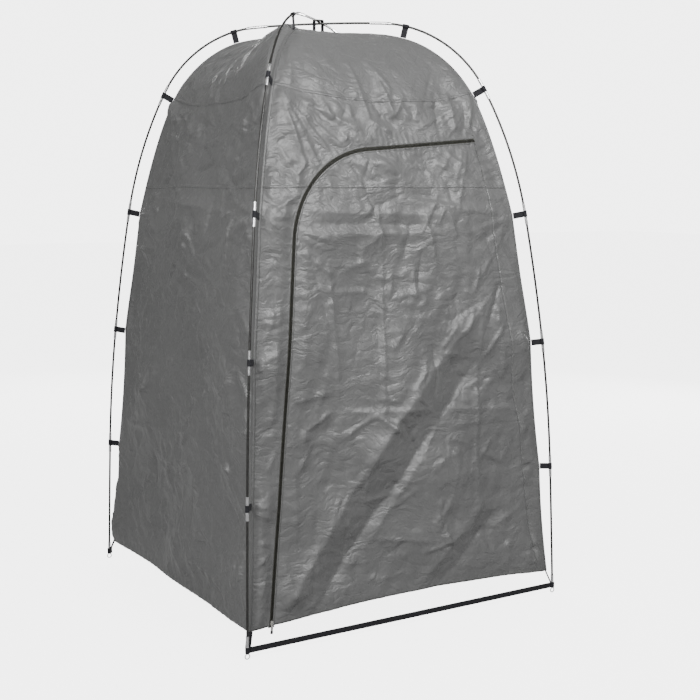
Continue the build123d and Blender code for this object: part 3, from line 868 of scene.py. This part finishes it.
# Woven band: ribs along and across in its own coordinates.
def bandMaterial(name, dark, light, threads, placeOn, roughness):
    material, tree, shader = newMaterial(name, Sheen_Weight=0.04, Specular_IOR_Level=0.25)
    place = placeOn(tree)
    weave = addGroup(tree, weaveGroup, {"Vector": place, "Threads": threads})
    worn = addGroup(tree, patchesGroup, {"Vector": place, "Scale": bandLook["wear"]})
    tone = addMath(tree, "MULTIPLY_ADD", weave, bandLook["weaveShare"])
    share = addMath(tree, "ADD", tone, addMath(tree, "MULTIPLY", worn, bandLook["wearShare"]))
    tree.links.new(mixColours(tree, share, dark, light), shader.inputs["Base Color"])
    addRoughness(tree, shader, worn, roughness, roughness + bandLook["rougher"])
    tree.links.new(addBump(tree, weave, bandLook["threadDepth"]), shader.inputs["Normal"])
    return material


hardLook = {"wear": 70.0, "drawn": (900.0, 900.0, 60.0), "scratchDepth": 0.00003}


# Hard finish: patchy colour and roughness with fine scratches from stretched noise.
def hardMaterial(name, dark, light, roughLow, roughHigh, **constants):
    material, tree, shader = newMaterial(name, **constants)
    place = onObject(tree)
    worn = addGroup(tree, patchesGroup, {"Vector": place, "Scale": hardLook["wear"]})
    drawn = addNode(tree, "ShaderNodeMapping", {"Vector": place, "Scale": hardLook["drawn"]}).outputs[0]
    noise = addNode(tree, "ShaderNodeTexNoise", {"Vector": drawn, "Scale": 1.0, "Detail": 3.0})
    scratch = noise.outputs["Fac"]
    tree.links.new(mixColours(tree, worn, dark, light), shader.inputs["Base Color"])
    both = addMath(tree, "MULTIPLY", addMath(tree, "ADD", worn, scratch), 0.5)
    addRoughness(tree, shader, both, roughLow, roughHigh)
    tree.links.new(addBump(tree, scratch, hardLook["scratchDepth"]), shader.inputs["Normal"])
    return material


# Dark and light colour of each finish, then what its maker takes.
finish = {
    "tent_cloth": clothMaterial("tentCloth", (0.085, 0.0855, 0.085), (0.108, 0.1085, 0.1075), 0.0050),
    "hem_cloth": clothMaterial("hemCloth", (0.070, 0.0705, 0.070), (0.090, 0.0905, 0.0895), 0.002),
    "black_webbing": bandMaterial("blackWebbing", (0.004, 0.004, 0.005), (0.013, 0.013, 0.016),
                                  800.0, onObject, 0.7),
    "zip_tape": bandMaterial("zipTape", (0.008, 0.008, 0.006), (0.024, 0.024, 0.017), 1100.0, onSurface, 0.7),
    "elastic_cord": bandMaterial("elasticCord", (0.45, 0.45, 0.44), (0.75, 0.75, 0.73), 900.0, onObject, 0.6),
    "fibreglass_rod": hardMaterial("fibreglassRod", (0.010, 0.010, 0.009), (0.022, 0.022, 0.020),
                                   0.34, 0.50, Coat_Weight=0.10, Coat_Roughness=0.25),
    "ferrule_metal": hardMaterial("ferruleMetal", (0.80, 0.80, 0.81), (0.90, 0.90, 0.90),
                                  0.20, 0.42, Metallic=1.0),
    "pin_steel": hardMaterial("pinSteel", (0.50, 0.50, 0.51), (0.66, 0.66, 0.66), 0.24, 0.45, Metallic=1.0),
    "zip_coil": hardMaterial("zipCoil", (0.006, 0.006, 0.004), (0.016, 0.016, 0.012), 0.5, 0.65),
    "slider_metal": hardMaterial("sliderMetal", (0.66, 0.65, 0.62), (0.80, 0.79, 0.76),
                                 0.22, 0.38, Metallic=1.0),
    "pull_tip": hardMaterial("pullTip", (0.014, 0.014, 0.014), (0.03, 0.03, 0.03), 0.45, 0.6),
}
for part in frame["record"]["subparts"]:
    node = frame["nodes"][part["node"]]
    if not node.material_slots:
        node.data.materials.append(finish[part["material_slot"]])
    for slot in node.material_slots:
        slot.material = finish[part["material_slot"]]
print("materials made")

# Panels of cloth.
wallSeamRun = float(runAt(cabin["wallSeamHeight"]))
# About how wide and high each panel is, for its count of cells, and where the stations of the panel over
# the door stand along its upper edge, as shares of the half width.
panelSizes = {
    "lowerWall": 1.24, "wallSeam": 0.98, "upperWall": 0.31, "roofEdge": 0.84, "roof": 0.52,
    "leftStrip": 0.14, "rightStrip": 0.09, "lowerDoor": 1.0, "zipTop": 0.74, "upperDoor": 0.16,
    "besideZip": 0.19, "arch": 0.80, "hinge": 0.17, "overDoor": 0.30,
    "stops": (-1.0, -0.72, 0.80, 0.90, 1.0), "mergeGap": 0.00005, "aboveSeam": 0.0004,
}


def onDoor(piece):
    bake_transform(piece)


def onTent(piece):
    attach(piece, "tent")


def finishPiece(piece, slotName, place, *nodes):
    piece.data.materials.clear()
    piece.data.materials.append(finish[slotName])
    place(piece)
    if nodes:
        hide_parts(*nodes)


def clothPiece(made, place, node):
    piece, x, s = made
    thicken(piece, cabin["clothThickness"])
    finishPiece(piece, "tent_cloth", place, node)


# A panel whose left and right edges are functions of the run, between the hem and the wall seam.
def stripPanel(name, wall, leftEdge, rightEdge, width):
    t = np.linspace(0, 1, cellCount(wallSeamRun) + 1)[:, None]
    c = np.linspace(0, 1, cellCount(width) + 1)[None, :]
    floorX = lerp(leftEdge(np.zeros((1, 1))), rightEdge(np.zeros((1, 1))), c)
    s = lerp(hemRun(wall, floorX), wallSeamRun, t)
    x = lerp(leftEdge(s), rightEdge(s), c)
    return gridMesh(name, wallPoints(wall, x, s), np.stack([x, s], axis=-1)), x, s


def leftCorner(s):
    return -halfWidthAt(s)


def zipEdge(inset):
    return lambda s: zipAcross(heightAt(s), inset)


def hingeEdge(s):
    return hingeAcross(heightAt(s))


def makePlainWalls():
    for wall in ("left", "back", "right"):
        clothPiece(stripPanel(wall + "_wall_lower", wall, leftCorner, halfWidthAt, panelSizes["lowerWall"]),
                   onTent, f"wall_{wall}_lower")
        u = np.linspace(-1, 1, cellCount(panelSizes["wallSeam"]) + 1)
        flatEdge = np.full(u.shape, wallSeamRun)
        rows = cellCount(panelSizes["upperWall"])
        clothPiece(panel(wall + "_wall_upper", wall, u, flatEdge, u, roofSeamRun(u), rows), onTent,
                   f"wall_{wall}_upper")


def makeRoof():
    for wall in wallTurns:
        u = np.linspace(-1, 1, cellCount(panelSizes["roofEdge"]) + 1)
        top = np.full(u.shape, crownRun)
        rows = cellCount(panelSizes["roof"])
        clothPiece(panel(wall + "_roof", wall, u, roofSeamRun(u), u, top, rows, panelSizes["mergeGap"]),
                   onTent, f"roof_{wall}")


# Stations along a line of points, evenly spaced by length.
def resample(x, s, count):
    length = lengthAlong(x, s)
    mark = np.linspace(0, length[-1], count)
    return np.interp(mark, length, x), np.interp(mark, length, s)


# The part of the zip's line above the wall seam, ending on the hinge line.
def upperZip(inset, count):
    x, z = zipLine(inset)
    keep = z > cabin["wallSeamHeight"] + panelSizes["aboveSeam"]
    startX = zipAcross(cabin["wallSeamHeight"], inset)
    lineX = np.concatenate([[startX], x[keep], [hingeAcross(z[-1])]])
    lineZ = np.concatenate([[cabin["wallSeamHeight"]], z[keep], [z[-1]]])
    return resample(lineX, runAt(lineZ), count)


def makeFront():
    outer, sizes = doorLine["tapeOuter"], panelSizes
    clothPiece(stripPanel("front_left_wall", "front", leftCorner, zipEdge(-outer), sizes["leftStrip"]),
               onTent, "front_left_strip")
    clothPiece(stripPanel("front_right_wall", "front", hingeEdge, halfWidthAt, sizes["rightStrip"]),
               onTent, "front_right_strip")
    clothPiece(stripPanel("door_lower", "front", zipEdge(outer), hingeEdge, sizes["lowerDoor"]),
               onDoor, "door_lower_panel")
    # door above the seam, in plain distances
    count = cellCount(sizes["zipTop"]) + 1
    topX, topS = upperZip(outer, count)
    lowX = np.linspace(topX[0], float(hingeAcross(cabin["wallSeamHeight"])), count)
    t = np.linspace(0, 1, cellCount(sizes["upperDoor"]) + 1)[:, None]
    x, s = lerp(lowX[None, :], topX[None, :], t), lerp(wallSeamRun, topS[None, :], t)
    uv = np.stack([x, s], axis=-1)
    clothPiece((gridMesh("door_upper", wallPoints("front", x, s), uv, sizes["mergeGap"]), x, s), onDoor,
               "door_upper_panel")
    # the panel round the top of the door: seam, zip, hinge line and seam again along its lower edge
    seamHalf = float(halfWidthAt(wallSeamRun))
    archX, archS = upperZip(-outer, cellCount(sizes["arch"]) + 1)
    leftX = np.linspace(-seamHalf, archX[0], cellCount(sizes["besideZip"]) + 1)[:-1]
    hingeTop = float(heightAt(archS[-1]))
    hingeZ = np.linspace(hingeTop, cabin["wallSeamHeight"], cellCount(sizes["hinge"]) + 1)[1:]
    hingeX = hingeAcross(hingeZ)
    rightX = np.linspace(float(hingeX[-1]), seamHalf, cellCount(sizes["rightStrip"]) + 1)[1:]
    seamed = [np.full(edge.shape, wallSeamRun) for edge in (leftX, rightX)]
    lowX = np.concatenate([leftX, archX, hingeX, rightX])
    lowS = np.concatenate([seamed[0], archS, runAt(hingeZ), seamed[1]])
    counts = [len(edge) for edge in (leftX, archX, hingeX, rightX)]
    highU = np.concatenate([np.linspace(low, high, n, endpoint=False)
                            for low, high, n in zip(sizes["stops"], sizes["stops"][1:], counts)])
    highU = (highU - highU[0]) * 2 / (highU[-1] - highU[0]) - 1
    clothPiece(panel("front_top", "front", lowX / halfWidthAt(lowS), lowS, highU, roofSeamRun(highU),
                     cellCount(sizes["overDoor"])), onTent, "front_top_panel")


makePlainWalls()
makeRoof()
makeFront()
print("cloth panels made")

# Seams, hems, bindings, stitches and the zip.
trim = {
    "seamHalf": 0.0055, "seamLift": 0.0009, "seamEdge": 0.004, "seamStitches": (-0.0035, 0.0035),
    "hemDepth": 0.014, "hemEdge": 0.002, "hemStitches": 0.002,
    "bindingHalf": 0.0085, "bindingLift": 0.0010, "bindingStart": 0.001, "bindingEnd": 0.035,
    "bindingStitches": 0.7, "foldMiddle": 0.0026,
    "bandThickness": 0.0006, "hemThickness": 0.0005, "tapeThickness": 0.0005, "foldThickness": 0.0004,
    "stitchPitch": 0.0042, "stitchHalf": 0.0014, "stitchWidth": 0.0003,
    "zipClear": 0.009, "zipStitch": 0.0085,
    "toothPitch": 0.0016, "toothHalf": 0.00048, "toothWidth": 0.0027, "toothHeight": 0.0015,
    "toothLift": 0.0003, "toothTaper": (0.25, 0.12), "toothGap": 0.0001,
}


# A band that lies on the cloth along a line of (x, run) points: its cross section is given as
# distances aside and lifts, with the aside direction square to the line on the flat wall.
def bandMesh(name, wall, x, s, section, thickness):
    slopeX, slopeS = np.gradient(x), np.gradient(s)
    length = np.hypot(slopeX, slopeS)
    aside, lift = np.array(section).T[:, None, :]
    wideX = x[:, None] + aside * (slopeS / length)[:, None]
    wideS = s[:, None] - aside * (slopeX / length)[:, None]
    uv = np.stack(np.broadcast_arrays(aside, lengthAlong(x, s)[:, None]), axis=-1)
    points = wallPoints(wall, wideX, wideS, np.broadcast_to(lift, wideX.shape))
    return thicken(gridMesh(name, points, uv), thickness)


def joinPieces(name, pieces):
    target = pieces[0]
    if len(pieces) > 1:
        with bpy.context.temp_override(active_object=target, object=target, selected_objects=pieces,
                                       selected_editable_objects=pieces):
            bpy.ops.object.join()
    target.name = name
    target.data.name = name
    return target


# Stations swept to the left, so that a band's outside faces out.
def levelStations(lowX, highX):
    return np.linspace(highX, lowX, cellCount(highX - lowX) + 1)


# Parts of a level line on a wall, and what each moves with: the door's part is cut at zip and hinge.
def levelSpans(edge, zipHere=None, hingeHere=None):
    if zipHere is None:
        return [("tent", -edge, edge)]
    clear = trim["zipClear"]
    return [("tent", -edge, zipHere - clear), ("tent", hingeHere, edge), ("door", zipHere + clear, hingeHere)]


def wallSeamLine(x):
    return np.full(x.shape, wallSeamRun)


def roofSeamLine(x):
    half = float(halfWidthAt(runAt(cabin["roofSeamCorner"])))
    return roofSeamRun(np.clip(x / half, -1, 1))


# Copies of one small shape at marks along a line: its points are distances forward, aside and up.
def shapesAlong(wall, x, s, mark, shape):
    along = lengthAlong(x, s)
    middleX, middleS = np.interp(mark, along, x)[:, None], np.interp(mark, along, s)[:, None]
    tangentX = np.interp(mark, along, np.gradient(x, along))[:, None]
    tangentS = np.interp(mark, along, np.gradient(s, along))[:, None]
    forward, aside, lift = shape.T
    placeX = middleX + forward * tangentX - aside * tangentS
    placeS = middleS + forward * tangentS + aside * tangentX
    return wallPoints(wall, placeX, placeS, np.broadcast_to(lift, placeX.shape))


def repeatedMesh(name, blocks, faces):
    points = np.vstack([block.reshape(-1, 3) for block in blocks])
    each = blocks[0].shape[1]
    first = (np.arange(len(points) // each) * each)[:, None, None]
    return meshObject(name, points, (faces[None] + first).reshape(-1, faces.shape[1]), points[:, [0, 2]])


stitchLines = {"tent": [], "door": []}
beadFaces = np.array([(0, 2, 4), (2, 1, 4), (1, 3, 4), (3, 0, 4), (2, 0, 5), (1, 2, 5), (3, 1, 5), (0, 3, 5)])


# A row of stitches: small raised beads, each a double pyramid of eight faces.
def sewLine(place, wall, x, s, lift=0.0):
    half, width, pitch = trim["stitchHalf"], trim["stitchWidth"], trim["stitchPitch"]
    shape = np.array([(-half, 0, 0.0001), (half, 0, 0.0001), (0, -width, 0.0002), (0, width, 0.0002),
                      (0, 0, 0.00065), (0, 0, -0.0004)]) + (0, 0, lift)
    mark = np.arange(pitch / 2, lengthAlong(x, s)[-1], pitch)
    stitchLines[place].append(shapesAlong(wall, x, s, mark, shape))


def makeLevelSeams():
    parts = {"tent": [], "door": []}
    half, lift = trim["seamHalf"], trim["seamLift"]
    section = [(-half, 0.0001), (-half * 0.9, lift), (0.0, lift * 1.05), (half * 0.9, lift), (half, 0.0001)]
    for wall in wallTurns:
        for label, lineOf, height in (("wallSeam", wallSeamLine, cabin["wallSeamHeight"]),
                                      ("roofSeam", roofSeamLine, cabin["roofSeamCorner"])):
            edge = float(halfWidthAt(runAt(height))) - trim["seamEdge"]
            cuts = ()
            if wall == "front" and label == "wallSeam":
                cuts = float(zipAcross(height, 0.0)), float(hingeAcross(height))
            for place, lowX, highX in levelSpans(edge, *cuts):
                x = levelStations(lowX, highX)
                s = lineOf(x)
                parts[place].append(bandMesh(label + wall, wall, x, s, section, trim["bandThickness"]))
                for offset in trim["seamStitches"]:
                    sewLine(place, wall, x, s + offset, lift)
    finishPiece(joinPieces("wall_seams", parts["tent"]), "tent_cloth", onTent)
    finishPiece(joinPieces("door_seam", parts["door"]), "tent_cloth", onDoor)


# The doubled hem inside the bottom edge, and its row of stitches outside.
def makeHems():
    parts = {"tent": [], "door": []}
    deep = trim["hemDepth"]
    section = [(-deep / 2 - 0.0004, 0.0003), (-deep / 2 - 0.0002, -0.0016), (0, -0.0018), (deep / 2, -0.0012)]
    for wall in wallTurns:
        edge = float(halfWidthAt(0.0)) - trim["hemEdge"]
        cuts = (doorLine["start"][0], doorLine["hingeBottom"][0]) if wall == "front" else ()
        for place, lowX, highX in levelSpans(edge, *cuts):
            x = levelStations(lowX, highX)
            s = hemRun(wall, x) + deep / 2
            parts[place].append(bandMesh("hem" + wall, wall, x, s, section, trim["hemThickness"]))
            sewLine(place, wall, x, s + deep / 2 - trim["hemStitches"])
    finishPiece(joinPieces("wall_hem_fold", parts["tent"]), "hem_cloth", onTent, "wall_hem")
    finishPiece(joinPieces("door_hem_fold", parts["door"]), "hem_cloth", onDoor, "door_hem")


# The binding folded round each upright corner: a strip on either wall, joined over the edge.
def makeBindings():
    half, lift = trim["bindingHalf"], trim["bindingLift"]
    s = np.linspace(trim["bindingStart"], crownRun - trim["bindingEnd"], cellCount(crownRun))[:, None]
    inwards = np.array([half, half * 0.92, half * 0.45, 0.0008])[None, :]
    wideS = np.broadcast_to(s, (len(s), inwards.shape[1]))
    lifts = np.broadcast_to(np.array([0.0001, lift, lift, lift]), wideS.shape)
    names = list(wallTurns)
    parts = []
    for wall, following in zip(names, names[1:] + names[:1]):
        first = wallPoints(wall, halfWidthAt(s) - inwards, wideS, lifts)
        second = wallPoints(following, -halfWidthAt(s) + inwards[:, ::-1], wideS, lifts[:, ::-1])
        points = np.concatenate([first, second], axis=1)
        uv = np.stack(np.broadcast_arrays(np.linspace(-half, half, points.shape[1])[None, :], s), axis=-1)
        parts.append(thicken(gridMesh("binding" + wall, points, uv), trim["bandThickness"]))
        line = s[:, 0]
        sewnX = halfWidthAt(line) - half * trim["bindingStitches"]
        sewLine("tent", wall, sewnX, line, lift)
        sewLine("tent", following, -sewnX, line, lift)
    finishPiece(joinPieces("corner_bindings", parts), "hem_cloth", onTent)


# The zip's tapes under the cloth's folded edges, and a row of stitches along each. The tent's tape laps
# behind the door's.
def makeZipTapes():
    inner, outer, lap = doorLine["tapeInner"], doorLine["tapeOuter"], doorLine["tapeLap"]
    points = doorLine["trimPoints"]
    for sign, name, place, node in ((-1, "zip_tape_left", "tent", "zip_tape_frame"),
                                    (1, "zip_tape_right", "door", "zip_tape_door")):
        move = onTent if place == "tent" else onDoor
        section = [(inner, 0.0002) if sign > 0 else (-lap, -0.0010), (inner + 0.002, 0.0003),
                   (outer - 0.001, 0.0000), (outer + 0.004, -0.0011)][::sign]
        insets, lifts = np.array(section).T
        lines = [zipLine(sign * inset, points) for inset in insets]
        x = np.stack([line[0] for line in lines], axis=1)
        s = runAt(np.stack([line[1] for line in lines], axis=1))
        along = lengthAlong(x[:, 0], s[:, 0])[:, None]
        uv = np.stack(np.broadcast_arrays(insets[None, :], along), axis=-1)
        surface = wallPoints("front", x, s, np.broadcast_to(lifts, x.shape))
        finishPiece(thicken(gridMesh(name, surface, uv), trim["tapeThickness"]), "zip_tape", move, node)
        edgeX, edgeZ = zipLine(sign * trim["zipStitch"], points)
        sewLine(place, "front", edgeX, runAt(edgeZ))
        # the cloth's edge, folded double beside the tape
        foldX, foldZ = zipLine(sign * (outer + trim["foldMiddle"]), points)
        section = [(-0.0029, 0.0000), (-0.0026, 0.0006), (0.0026, 0.0006), (0.0029, 0.0001)]
        fold = bandMesh(name + "_fold", "front", foldX, runAt(foldZ), section, trim["foldThickness"])
        finishPiece(fold, "hem_cloth", move)


# Teeth of the coil: one small tapered block for each turn, the two sides half a step apart.
def makeZipTeeth():
    corners = [(a, b, c) for c in (0.0, 1.0) for a, b in ((-1, 0), (1, 0), (1, 1), (-1, 1))]
    forward, aside, up = np.array(corners, float).T
    faces = np.array([(0, 3, 2, 1), (4, 5, 6, 7), (0, 1, 5, 4), (1, 2, 6, 5), (2, 3, 7, 6), (3, 0, 4, 7)])
    pitch, (narrower, shorter) = trim["toothPitch"], trim["toothTaper"]
    for sign, name, place, node in ((-1, "zip_teeth_left", onTent, "zip_coil_frame"),
                                    (1, "zip_teeth_right", onDoor, "zip_coil_door")):
        mark = np.arange(pitch * (1 + sign / 4), zipStation[-1] - 0.002, pitch)
        shape = np.stack([
            forward * trim["toothHalf"] * (1 - narrower * up),
            -sign * (trim["toothGap"] + trim["toothWidth"] * aside * (1 - shorter * up)),
            trim["toothLift"] + trim["toothHeight"] * up,
        ], axis=1)
        block = shapesAlong("front", zipX, zipRun, mark, shape)
        teeth = repeatedMesh(name, [block], faces if sign > 0 else faces[:, ::-1])
        teeth.data.polygons.foreach_set("use_smooth", np.zeros(len(teeth.data.polygons), bool))
        finishPiece(teeth, "zip_coil", place, node)


def makeStitches():
    for place, move in (("tent", onTent), ("door", onDoor)):
        beads = repeatedMesh(place + "_stitches", stitchLines[place], beadFaces)
        finishPiece(beads, "hem_cloth", move)


makeLevelSeams()
makeHems()
makeBindings()
makeZipTapes()
makeZipTeeth()
makeStitches()
print("seams, hems, zip and stitches made")
